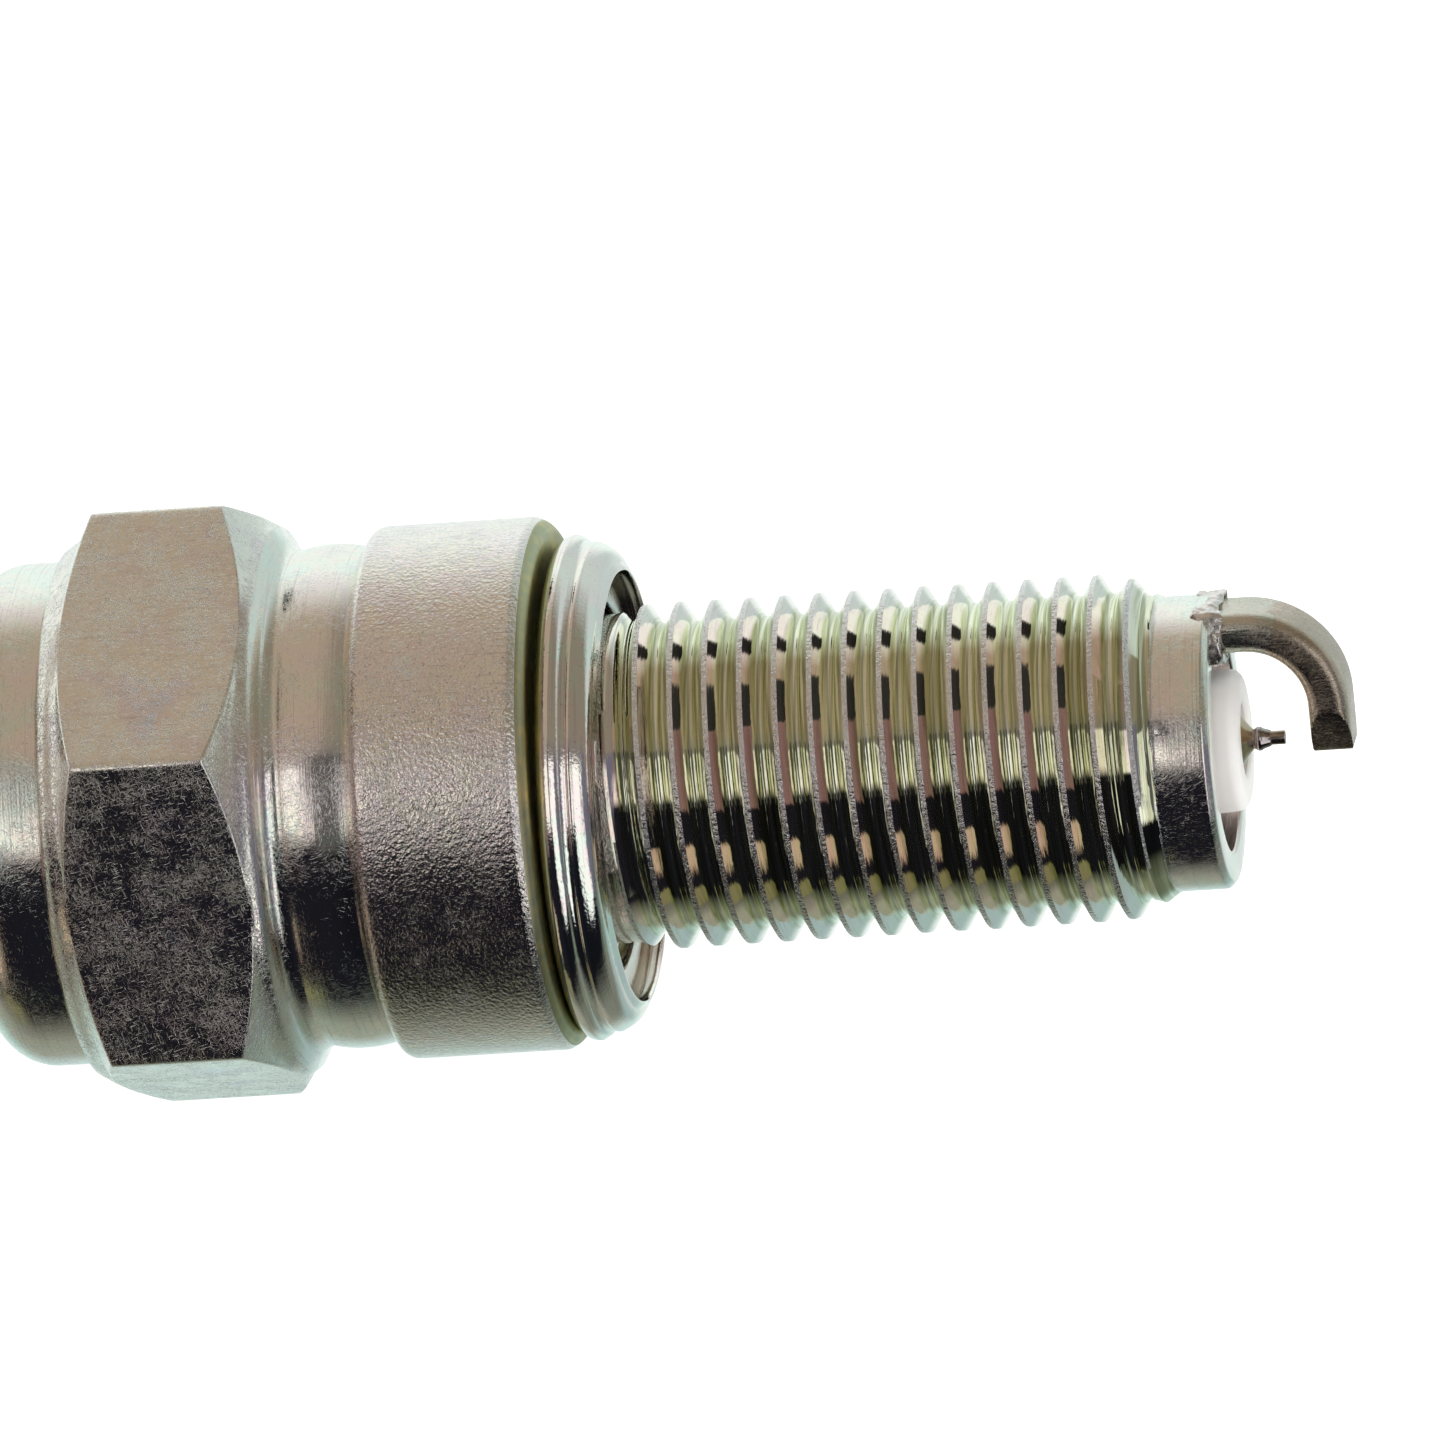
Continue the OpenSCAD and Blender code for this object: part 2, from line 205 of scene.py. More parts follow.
def zinc(name, patches, grain, grain_um, grain_scale, rough,
         speck=0.0, fine_um=0.0, lumps=0.0, worn=0.0, root=None):
    """Bright zinc plating: drifting passivate colour, directional grain, fine relief and specks; in a
    thread's root, painted olive shade with lighter rings as painted highlights.
    """
    material, tree, shader, coords = new_material(name)
    drift = noise(tree, coords, 420, 3.0, 0.55)
    fine_drift = noise(tree, coords, 2600, 2.0, 0.6, shift=0.31)
    film = maths(tree, "MULTIPLY_ADD", fine_drift, 0.25, maths(tree, "MULTIPLY", drift, 0.8))
    count = len(patches) - 1
    stops = [(0.30 + 0.44 * i / count, colour) for i, colour in enumerate(patches)]
    colour = ramp(tree, film, stops)
    # Deep in the thread's root the colour turns olive: painted shade of the groove, with lighter rings
    # painted as highlight lines.
    if root:
        flat = add(tree, "ShaderNodeVectorMath", {0: coords, 1: (0, 1, 1)}, operation="MULTIPLY").outputs[0]
        out = add(tree, "ShaderNodeVectorMath", {0: flat}, operation="LENGTH").outputs["Value"]
        rings = spread(tree, noise(tree, coords, 7500, 2.0, 0.6, ROUND, 0.6), 0.40, 0.60)
        painted_root = mix(tree, rings, *root)
        deep = spread(tree, out, ROOT_SHADE_FROM * MM, ROOT_SHADE_TO * MM, 1, 0)
        colour = mix(tree, deep, colour, painted_root)
    lines = noise(tree, coords, grain_scale, 3.0, 0.6, grain)
    pits = noise(tree, coords, 9000, 2.0, 0.7, shift=0.77)
    dark = spread(tree, pits, 0.64, 0.74, 0.0, speck)
    colour = mix(tree, dark, colour, PIT_TONE)
    groove = spread(tree, lines, 0.56, 0.70, 0.0, 0.3)
    colour = mix(tree, groove, colour, GROOVE_TONE)
    roughness = spread(tree, lines, 0.3, 0.7, rough[0], rough[1])
    normal = bump(tree, lines, grain_um)
    if lumps:
        normal = bump(tree, noise(tree, coords, 10000, 2.0, 0.55, (1, 1, 0.8), 0.13), lumps, normal)
    if fine_um:
        normal = bump(tree, noise(tree, coords, 21000, 2.0, 0.6, shift=0.53), fine_um, normal)
    if worn:
        marks = scratches(tree, coords)
        colour = mix(tree, maths(tree, "MULTIPLY", marks, 0.6), colour, SLATE)
        normal = bump(tree, marks, -7.0 * worn, normal)
        roughness = maths(tree, "MULTIPLY_ADD", marks, 0.30 * worn, roughness)
    wire(tree, shader, Base_Color=colour, Metallic=1.0, Roughness=roughness, Normal=normal,
         Specular_Tint=MINT_EDGE)
    return material


KHAKI = (0.94, 0.89, 0.79)
STRAW = (0.96, 0.93, 0.83)
MAUVE = (0.92, 0.82, 0.80)
ROSE = (0.96, 0.86, 0.83)
SAGE = (0.86, 0.93, 0.83)
PALE = (0.94, 0.95, 0.92)
ROOT_SHEEN_OLIVE = (0.90, 0.91, 0.72)
PAINTED_SHADE_OLIVE = (0.52, 0.53, 0.34)
GAP_REFLECTION_GOLD = (0.88, 0.72, 0.34)

zinc_hex = zinc("zinc_hexagon", [KHAKI, MAUVE, KHAKI, STRAW, MAUVE, SLATE], ALONG, 5.0, 11000,
                (0.06, 0.14), speck=0.35, fine_um=1.2, worn=1.0)
zinc_turned = zinc("zinc_turned", [STRAW, ROSE, KHAKI, SAGE, MAUVE], ROUND, 5.0, 14000,
                   (0.02, 0.06), speck=0.3, fine_um=0.7, worn=0.4)
zinc_band = zinc("zinc_band", [STRAW, MAUVE, KHAKI, ROSE, PALE], ALONG, 4.0, 12000,
                 (0.02, 0.07), speck=0.5, fine_um=2.0, lumps=34.0, worn=0.55)
# Its root is painted olive: painted shade, with painted highlight rings.
zinc_thread = zinc("zinc_thread", [MAUVE, ROSE, STRAW, MAUVE], ROUND, 2.6, 21000,
                   (0.02, 0.06), speck=0.3, root=(PAINTED_SHADE_OLIVE, ROOT_SHEEN_OLIVE))
zinc_crest = zinc("zinc_crest", [(0.84, 0.81, 0.79), (1.0, 0.98, 0.97)], EVEN, 80.0, 8000,
                  (0.12, 0.3), speck=0.7)
zinc_bore = zinc("zinc_bore", [KHAKI, MAUVE, KHAKI], ROUND, 4.0, 9000, (0.15, 0.3), speck=0.4)
zinc_gasket = zinc("zinc_gasket", [PALE, STRAW, ROSE, SAGE, PALE], ROUND, 4.0, 9000,
                   (0.06, 0.14), speck=0.4, lumps=5.0)
# The seat face and the gasket's back are painted gold with darker olive patches: a painted reflection of
# light bouncing in the gap between them.
zinc_seat_painted_reflection = zinc("zinc_seat_painted_reflection", [GAP_REFLECTION_GOLD, PAINTED_SHADE_OLIVE, GAP_REFLECTION_GOLD], ROUND, 8.0, 9000, (0.3, 0.5), speck=0.4)


def plain_metal(name, colour, other, grain, grain_scale, grain_um, rough, drift_scale=900):
    """Bare or nickel-plated metal in two drifting tones with directional marks."""
    material, tree, shader, coords = new_material(name)
    drift = noise(tree, coords, drift_scale, 3.0, 0.6)
    tone = mix(tree, spread(tree, drift, 0.35, 0.65), colour, other)
    lines = noise(tree, coords, grain_scale, 3.0, 0.6, grain)
    roughness = spread(tree, lines, 0.3, 0.7, rough[0], rough[1])
    wire(tree, shader, Base_Color=tone, Metallic=1.0, Roughness=roughness, Normal=bump(tree, lines, grain_um))
    return material


STRAP_TONES = ((0.66, 0.55, 0.43), (0.52, 0.43, 0.34))
STRAP_LINE_TONE = (0.34, 0.30, 0.26)
STRAP_FILM_TONES = ((0.58, 0.61, 0.51), (0.66, 0.61, 0.52))
FILM_ENDS_FROM, FILM_ENDS_TO = 21.35, 21.43


def strap_metal():
    """Bare nickel alloy with drawing marks, still plated over its root as far as a ragged line."""
    material, tree, shader, coords = new_material("nickel_alloy_strap")
    drift = noise(tree, coords, 900, 3.0, 0.6)
    tone = mix(tree, spread(tree, drift, 0.35, 0.65), *STRAP_TONES)
    lines = noise(tree, coords, 16000, 3.0, 0.6, ALONG)
    tone = mix(tree, spread(tree, lines, 0.55, 0.7, 0.0, 0.5), tone, STRAP_LINE_TONE)
    along = add(tree, "ShaderNodeSeparateXYZ", {0: coords}).outputs[0]
    ragged = maths(tree, "MULTIPLY_ADD", noise(tree, coords, 1300, 3.0, 0.6, shift=0.21), 1.6 * MM, along)
    plated = spread(tree, ragged, FILM_ENDS_FROM * MM, FILM_ENDS_TO * MM, 1, 0)
    film = mix(tree, spread(tree, drift, 0.4, 0.6), *STRAP_FILM_TONES)
    tone = mix(tree, plated, tone, film)
    marks = scratches(tree, coords)
    roughness = maths(tree, "MULTIPLY_ADD", marks, 0.18, spread(tree, lines, 0.3, 0.7, 0.16, 0.30))
    normal = bump(tree, marks, -3.0, bump(tree, lines, 9.0))
    wire(tree, shader, Base_Color=tone, Metallic=1.0, Roughness=roughness, Normal=normal)
    return material


nickel_strap = strap_metal()
electrode_alloy = plain_metal("electrode_alloy", (0.70, 0.56, 0.36), (0.50, 0.42, 0.34), ROUND, 14000, 1.0,
                              (0.14, 0.24))
weld_metal = plain_metal("weld_metal", (0.95, 0.91, 0.87), (0.80, 0.74, 0.70), EVEN, 9000, 14.0,
                         (0.14, 0.38), 6000)
bead_metal = plain_metal("weld_bead", (0.58, 0.52, 0.50), (0.40, 0.36, 0.37), EVEN, 5000, 8.0,
                         (0.08, 0.2), 4000)
iridium = plain_metal("iridium", (0.66, 0.55, 0.44), (0.50, 0.42, 0.35), ALONG, 20000, 1.5, (0.18, 0.3))
nickel_plate = plain_metal("nickel_plate", (0.74, 0.72, 0.67), (0.68, 0.66, 0.62), ROUND, 9000, 0.8,
                           (0.14, 0.24))
plain_steel = plain_metal("plain_steel", (0.56, 0.55, 0.53), (0.46, 0.45, 0.44), ROUND, 7000, 1.5,
                          (0.3, 0.45))
copper = plain_metal("copper", (0.80, 0.46, 0.32), (0.66, 0.36, 0.25), ROUND, 7000, 1.2, (0.22, 0.36))


def powder(name, colour, grains, grain_scale, rough):
    """Pressed or fused powder: two grain tones and a rough surface."""
    material, tree, shader, coords = new_material(name)
    speckle = noise(tree, coords, grain_scale, 2.0, 0.7)
    tone = mix(tree, spread(tree, speckle, 0.45, 0.6), colour, grains)
    wire(tree, shader, Base_Color=tone, Roughness=spread(tree, speckle, 0.3, 0.7, rough - 0.12, rough),
         Normal=bump(tree, speckle, 8.0))
    return material


talc = powder("pressed_talc", (0.80, 0.79, 0.74), (0.68, 0.67, 0.62), 5000, 0.95)
glass_seal = powder("copper_glass_seal", (0.24, 0.20, 0.17), (0.45, 0.28, 0.18), 6000, 0.4)
resistor_glass = powder("resistor_glass", (0.06, 0.06, 0.065), (0.14, 0.14, 0.15), 6000, 0.55)


GLAZE_TO, BARE_FROM = -12.0, -10.0
ALUMINA_TONES = ((0.90, 0.885, 0.86), (0.93, 0.92, 0.90))


def ceramic():
    """White alumina: glazed on the ribbed end, matte where it stands in the shell's mouth."""
    material, tree, shader, coords = new_material("alumina")
    along = add(tree, "ShaderNodeSeparateXYZ", {0: coords}).outputs[0]
    bare = spread(tree, along, GLAZE_TO * MM, BARE_FROM * MM)
    cloud = noise(tree, coords, 700, 3.0, 0.55)
    tone = mix(tree, spread(tree, cloud, 0.3, 0.7), *ALUMINA_TONES)
    grain = noise(tree, coords, 15000, 2.0, 0.6)
    roughness = maths(tree, "MULTIPLY_ADD", bare, 0.32, spread(tree, grain, 0.3, 0.7, 0.07, 0.13))
    wire(tree, shader, Base_Color=tone, Roughness=roughness, Normal=bump(tree, grain, 0.4),
         Subsurface_Weight=0.12)
    shader.inputs["Subsurface Radius"].default_value = (0.0006, 0.0005, 0.0004)
    shader.inputs["Subsurface Scale"].default_value = 1.0
    return material


alumina = ceramic()


# ---------------------------------------------------------------- mesh helpers
def arc(centre, radius, start, end, count):
    """Points (x, r) on an arc; the angle runs from straight out (0) towards the firing end (90)."""
    turns = np.radians(np.linspace(start, end, count + 1))
    return [(centre[0] + radius * math.sin(a), centre[1] + radius * math.cos(a)) for a in turns]


def run_of_arcs(start, angle, arcs):
    """Arcs that follow each other without a corner, each given by radius, end angle and count."""
    points = [start]
    for radius, end, count in arcs:
        turn = math.radians(angle)
        centre = (points[-1][0] - radius * math.sin(turn), points[-1][1] - radius * math.cos(turn))
        points += arc(centre, radius, angle, end, count)[1:]
        angle = end
    return points


def rounded(points, radius, count=3):
    """The same outline with every corner rounded but its two ends."""
    out = [points[0]]
    for before, corner, after in zip(points, points[1:], points[2:]):
        before, corner, after = (np.array(p, float) for p in (before, corner, after))
        to_before, to_after = before - corner, after - corner
        cut = min(radius, 0.45 * np.linalg.norm(to_before), 0.45 * np.linalg.norm(to_after))
        a = corner + to_before / np.linalg.norm(to_before) * cut
        b = corner + to_after / np.linalg.norm(to_after) * cut
        for step in np.linspace(0, 1, count + 1):
            out.append(tuple((1 - step) ** 2 * a + 2 * step * (1 - step) * corner + step ** 2 * b))
    out.append(points[-1])
    return out


def even_columns(count):
    return np.linspace(0, 360, count + 1)[:-1]


def to_points(x, r, psi):
    """Places in metres of points given by x and r in mm and psi in degrees."""
    turn = np.radians(PSI_TOP - psi)
    return np.stack([x, r * np.sin(turn), r * np.cos(turn)], axis=-1) * MM


def grid_faces(rows, columns, first, wrap_columns=True, wrap_rows=False):
    faces = []
    for i in range(rows if wrap_rows else rows - 1):
        near, far = i * columns, (i + 1) % rows * columns
        for j in range(columns if wrap_columns else columns - 1):
            k = (j + 1) % columns
            faces.append((first + near + j, first + near + k, first + far + k, first + far + j))
    return faces


def make_object(name, points, faces, materials, pick=None, crease=38, weld=1e-7):
    """Mesh object from points and faces; pick gives each face's material from its middle."""
    mesh = bpy.data.meshes.new(name)
    mesh.from_pydata([tuple(p) for p in points], [], faces)
    work = bmesh.new()
    work.from_mesh(mesh)
    bmesh.ops.remove_doubles(work, verts=work.verts, dist=weld)
    bmesh.ops.dissolve_degenerate(work, edges=work.edges, dist=weld)
    bmesh.ops.recalc_face_normals(work, faces=work.faces)
    for face in work.faces:
        face.smooth = True
        if pick:
            face.material_index = pick(face.calc_center_median() / MM)
    work.to_mesh(mesh)
    work.free()
    mesh.set_sharp_from_angle(angle=math.radians(crease))
    for material in materials:
        mesh.materials.append(material)
    piece = bpy.data.objects.new(name, mesh)
    bpy.context.scene.collection.objects.link(piece)
    return piece


def lathe(name, outline, materials, columns=192, closed=True, wobble=None, crease=38, pick=None):
    """Turns an outline of (x, r) points; wobble moves the grid points before they are placed."""
    outline = np.array(outline, float)
    psi = even_columns(columns)
    x = np.repeat(outline[:, :1], columns, axis=1)
    r = np.repeat(outline[:, 1:], columns, axis=1)
    angle = np.repeat(psi[None, :], len(outline), axis=0)
    if wobble:
        x, r = wobble(x, r, angle)
    points = to_points(x, r, angle).reshape(-1, 3)
    faces = grid_faces(len(outline), columns, 0, wrap_rows=closed)
    materials = materials if isinstance(materials, list) else [materials]
    return make_object(name, points, faces, materials, pick, crease=crease)


def fit(piece, body, slot, *nodes):
    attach(piece, body)
    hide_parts(*nodes)


# ---------------------------------------------------------------- shell
THREAD_PITCH = 1.0
THREAD_R = 4.93
ROOT_R = 4.37
ROOT_ROUND = 0.18
CREST_HALF = 0.075  # half width of the flat land on a crest
CREST_UNEVEN = 0.004  # how far the rolled crests waver
CREST_STEP = 0.04  # how far the first crest starts above the neck
NECK_R = 4.66
NOSE_R = 4.2
CREST_PHASE = 3.55  # place of one crest at psi 0
THREAD_FROM, THREAD_TO = 1.3, 17.45
REACH = 18.95
HEX_HALF = 7.95
COLLAR_R = 7.22
LAND_FROM, LAND_TO = 26, 34  # slope of the near-flat lands that rolling leaves on rounded edges
CREST_IN_FROM, CREST_IN_LENGTH = 1.73, 0.83  # where the crests rise out of the neck
RUN_IN_FROM, RUN_IN_LENGTH = 1.8, 0.5  # where the root sinks to its full depth
FADE_FROM, FADE_SLOPE = 15.9, 0.26  # where the crests start to fall towards the nose
DROP_FROM, DROP_SLOPE = 16.6, 0.72  # where they fall faster
ROOT_OUT_FROM, ROOT_OUT_SLOPE = 16.4, 0.17  # where the root runs out to the nose
BORE_R = 3.13
SECTOR_COLUMNS = 34
FLAT_PSI = -8.0  # middle of the flat that faces up in the picture
CORNER_POWER = 150  # the higher, the sharper the hexagon's corners
CREASE_POWER = 220  # the higher, the sharper the creases between its flats and chamfers
HEX_MIDDLE = -10.8
BACK_CONE = [(-14.10, 7.22), (-13.93, 7.6), (-13.35, 7.97), (-12.38, 9.8)]
FRONT_CONE = [(-9.37, 9.8), (-8.15, 7.97), (-7.83, 7.76)]
CREASE_ROWS = (-0.06, -0.03, 0, 0.03, 0.06)  # grid rows either side of a crease
CREASE_REACH = 0.06
FLAT_ROWS = (0.08, 0.25, 0.42, 0.58, 0.75, 0.92)  # grid rows over a flat, as shares of its length
# Grid rows over one pitch, in pitches from the crest, closer together at its edges and in the root.
ROW_PHASES = [-0.5, -0.46, -0.42, -0.38, -0.344, -0.32, -0.075, 0.0, 0.075, 0.32, 0.344, 0.38, 0.42, 0.46]


def shell_columns():
    """Angles round the shell, closer together at the hexagon's corners."""
    u = np.linspace(-1, 1, SECTOR_COLUMNS + 1)[:-1]
    across = 30 * (0.25 * u + 0.75 * np.sin(math.pi * u / 2))
    return np.concatenate([FLAT_PSI + 60 * k + across for k in range(6)])


def hex_radius(psi):
    """Distance from the axis to the hexagon's side, with slightly rounded corners."""
    away = (psi - FLAT_PSI + 30) % 60 - 30
    near = [np.clip(np.cos(np.radians(away + turn)), 0, 1) ** CORNER_POWER for turn in (-60, 0, 60)]
    return HEX_HALF / sum(near) ** (1 / CORNER_POWER)


def soft_min(a, b):
    """The smaller of the two, with the corner where they cross slightly rounded."""
    return a * (1 + (a / b) ** CREASE_POWER) ** (-1 / CREASE_POWER)


def hex_rows(psi):
    """Grid rows of the hexagon, bent to follow the curved creases where its cones meet the flats."""
    side = hex_radius(psi)
    back_x, back_r = np.array(BACK_CONE).T
    front_x, front_r = np.array(FRONT_CONE).T
    back = np.interp(side, back_r, back_x)
    front = np.interp(side, front_r[::-1], front_x[::-1])
    rows = [np.full_like(psi, x) for x in (-14.10, -14.02, -13.93)]
    rows += [np.minimum(x, back - d) for x, d in ((-13.64, 0.16), (-13.35, 0.1))]
    rows += [back + d for d in CREASE_ROWS]
    rows += [back + CREASE_REACH + share * (front - back - 2 * CREASE_REACH) for share in FLAT_ROWS]
    rows += [front + d for d in CREASE_ROWS]
    rows += [np.maximum(x, front + d) for x, d in ((-8.38, 0.09), (-8.15, 0.12), (-7.98, 0.16), (-7.88, 0.2))]
    x = np.array(rows)
    cone = np.where(x < HEX_MIDDLE, np.interp(x, back_x, back_r), np.interp(x, front_x, front_r))
    return x, soft_min(cone, np.broadcast_to(side, x.shape))


def crest_envelope(x):
    """The crests fade in past the neck and fade out at the nose."""
    start = np.clip((x - CREST_IN_FROM) / CREST_IN_LENGTH, 0, 1)
    crest = NECK_R + CREST_STEP + (THREAD_R - NECK_R - CREST_STEP) * start
    crest = np.where(x > FADE_FROM, THREAD_R - (x - FADE_FROM) * FADE_SLOPE, crest)
    fallen = THREAD_R - (DROP_FROM - FADE_FROM) * FADE_SLOPE
    crest = np.where(x > DROP_FROM, fallen - (x - DROP_FROM) * DROP_SLOPE, crest)
    return np.maximum(crest, NOSE_R)


def thread_radius(x, psi):
    """Right-hand thread: narrow crest land, 60 degree flanks and a full round root."""
    phase = (x - CREST_PHASE - psi / 360 * THREAD_PITCH) / THREAD_PITCH
    turn = np.round(phase)
    off = np.abs(phase - turn)
    crest = crest_envelope(x)
    round_axis = np.radians(psi)
    uneven = np.sin(7.3 * round_axis + 2.1 * turn) + np.sin(23 * round_axis + 1.3 * turn)
    crest = crest + CREST_UNEVEN * uneven
    run_in = np.clip((x - RUN_IN_FROM) / RUN_IN_LENGTH, 0, 1)
    root = NECK_R - (NECK_R - ROOT_R) * run_in ** 2 * (3 - 2 * run_in)
    run_out = np.maximum(ROOT_R - (x - ROOT_OUT_FROM) * ROOT_OUT_SLOPE, NOSE_R)
    root = np.where(x > ROOT_OUT_FROM, run_out, root)
    flank = crest - np.maximum(off - CREST_HALF, 0) * math.sqrt(3)
    inset = np.minimum(0.5 - off, ROOT_ROUND * math.cos(math.radians(30)))
    groove = root + ROOT_ROUND - np.sqrt(ROOT_ROUND ** 2 - inset ** 2)
    return np.minimum(np.maximum(flank, groove), crest)


def thread_grid(psi):
    """Grid that winds with the thread, clamped to its two ends, with the last column closing the turn."""
    psi = np.append(psi, psi[0] + 360)
    first = math.floor(THREAD_FROM - CREST_PHASE) - 1
    last = math.ceil(THREAD_TO - CREST_PHASE) + 1
    starts = np.array([CREST_PHASE + k + p for k in range(first, last + 1) for p in ROW_PHASES])
    x = starts[:, None] + psi[None, :] / 360 * THREAD_PITCH
    x = np.clip(x, THREAD_FROM, THREAD_TO)
    angle = np.broadcast_to(psi, x.shape)
    radius = thread_radius(x, angle)
    radius = np.where(x <= THREAD_FROM, NECK_R, radius)
    radius = np.where(x >= THREAD_TO, NOSE_R, radius)
    return x, radius, angle


def shell_grids():
    """The shell's grids of x, r and psi, and whether each grid closes round on itself."""
    psi = shell_columns()

    def turned(outline):
        outline = np.array(outline, float)
        x = np.repeat(outline[:, :1], len(psi), axis=1)
        return x, np.repeat(outline[:, 1:], len(psi), axis=1)

    crimp = [(-16.6, 5.02)] + arc((-15.2, 5.58), 1.64, -103, 0, 16) + [(-14.9, COLLAR_R), (-14.18, COLLAR_R)]
    neck = arc((-7.19, 7.66), 0.55, 240 - 360, 180 - 360, 8)
    neck += arc((-6.35, 3.625), 3.6, -12, 17.3, 14)
    neck += [(-5.2, 7.16)] + arc((-4.75, 7.28), 0.35, -90, 0, 7)
    band = [(x, BAND_R) for x in np.linspace(-4.5, -0.7, 8)]
    seat = run_of_arcs((-0.52, BAND_R), 0, [(0.2, LAND_FROM, 4), (1.4, LAND_TO, 4), (0.58, 90, 8)])
    seat += [(0, 6.0), (0, 4.9), (0.04, 4.72), (0.14, NECK_R), (0.7, NECK_R)]
    parts = [turned(crimp), hex_rows(psi), turned(neck + band + seat + [(THREAD_FROM, NECK_R)])]
    nose = [(THREAD_TO, NOSE_R), (17.9, NOSE_R), (18.4, NOSE_R)]
    mouth = [(REACH, 4.02), (REACH, 3.19), (18.89, BORE_R), (18.5, BORE_R)]
    nose += rounded([(18.6, NOSE_R), (18.77, NOSE_R)] + mouth, 0.05)
    bore = [(17, BORE_R), (14, BORE_R), (10, BORE_R), (7.25, BORE_R)]
    bore += [(7, 2.88), (6.34, 2.88), (5.72, 3.5), (-3.3, 3.5)]
    bore += [(-6.3, 6.2), (-15.2, 6.2)] + arc((-15.2, 5.58), 0.62, 0, -103, 8)
    x = np.vstack([p[0] for p in parts])
    r = np.vstack([p[1] for p in parts])
    angle = np.broadcast_to(psi, x.shape)
    end_x, end_r = turned(nose + bore + [(-16.6, 5.02)])
    end = (end_x, end_r, np.broadcast_to(psi, end_x.shape), True)
    return [(x, r, angle, True), (*thread_grid(psi), False), end]


SHELL_FINISHES = [zinc_hex, zinc_turned, zinc_band, zinc_thread, zinc_crest, zinc_bore, zinc_seat_painted_reflection]
HEX, TURNED, BAND, THREAD, CREST, BORE, SEAT = range(len(SHELL_FINISHES))
# Places along the axis where one finish outside gives way to the next.
HEX_FROM, HEX_TO = -14.0, -7.9
BAND_FROM = -5.15
SEAT_FROM, SEAT_TO = -0.26, 0.02
RELIEF_TO = 1.7
NOSE_FROM = 17.3
CREST_FROM, CREST_TO, CREST_DEPTH = 1.9, 16.9, 0.02


def shell_zone(middle):
    """Which of the shell's finishes a face takes, from its place."""
    r = math.hypot(middle.y, middle.z)
    x = middle.x
    if x < HEX_FROM:
        return TURNED
    if x < HEX_TO:
        return HEX if r > 7.0 else BORE
    if x < BAND_FROM:
        return TURNED if r > 6.9 else BORE
    if x < SEAT_FROM:
        return BAND if r > 6.9 else BORE
    # The seat face under the gasket: painted gold reflection of the gap.
    if x < SEAT_TO and r > 4.9:
        return SEAT
    if x < RELIEF_TO and r > 4.5:
        return BAND
    if r < 3.5:
        return BORE
    if CREST_FROM < x < CREST_TO and r > crest_envelope(x) - CREST_DEPTH:
        return CREST
    return THREAD if x < NOSE_FROM else TURNED


def make_shell():
    points, faces = [], []
    for x, r, angle, wrap in shell_grids():
        faces += grid_faces(*x.shape, len(points), wrap_columns=wrap)
        points.extend(to_points(x, r, angle).reshape(-1, 3))
    piece = make_object("threaded_shell", points, faces, SHELL_FINISHES, shell_zone, weld=4e-6)
    fit(piece, "plug", "shell", "shell")


make_shell()

# ---------------------------------------------------------------- gasket
GASKET_GAP, GASKET_DROP = 0.12, 0.3  # the loose ring stands off the seat and hangs on the neck
GASKET_LEAN, LEAN_TURN = 0.8, 52.0  # degrees out of square, and round the axis to the side it leans
SHEET = 0.32
BEAD_A, BEAD_A_AT = 0.42, (0.42, 6.82)
BEAD_B, BEAD_B_AT = 0.425, (1.285, 6.58)


def gasket_outline():
    """One steel sheet, hemmed at the inside and rolled into two beads at the outside."""
    outer = [(0.02, 5.03), (0, 5.08), (0, 5.9)]
    first_bead = [(0.42, 0, 10), (0.1, LAND_FROM, 4), (1.1, LAND_TO, 4), (0.3, 66, 4)]
    outer += run_of_arcs((0, 6.82), -90, first_bead)
    outer += run_of_arcs((0.87, 6.97), -45, [(0.15, LAND_FROM, 7), (2.4, LAND_TO, 5), (0.56, 90, 8)])
    outer += [(1.695, 6.25), (1.69, 6.17), (1.62, 6.15), (1.47, 6.15)]
    outer += [(1.40, 6.18)] + arc(BEAD_B_AT, BEAD_B - SHEET, 90, -90, 6)
    outer += [(1.17, 6.0), (1.17, 5.3), (1.13, 5.22), (1.05, 5.2)]
    outer += [(0.65, 5.2), (0.55, 5.24), (0.53, 5.3), (0.53, 6.0)]
    outer += arc(BEAD_A_AT, BEAD_A - SHEET, 90, -90, 6) + [(SHEET, 5.9), (SHEET, 5.08), (0.28, 5.03)]
    return outer


def gasket_wobble(x, r, psi):
    """The rolled lip isn't quite even."""
    lip = np.clip((x - 1.35) / 0.3, 0, 1) * np.clip((6.7 - r) / 0.4, 0, 1) * (r > 6.0)
    turn = np.radians(psi)
    uneven = 0.5 * np.sin(3 * turn + 0.6) + 0.3 * np.sin(7 * turn) + 0.2 * np.sin(16 * turn + 1.1)
    return x - 0.02 * np.abs(uneven) * lip, r - 0.05 * uneven * lip


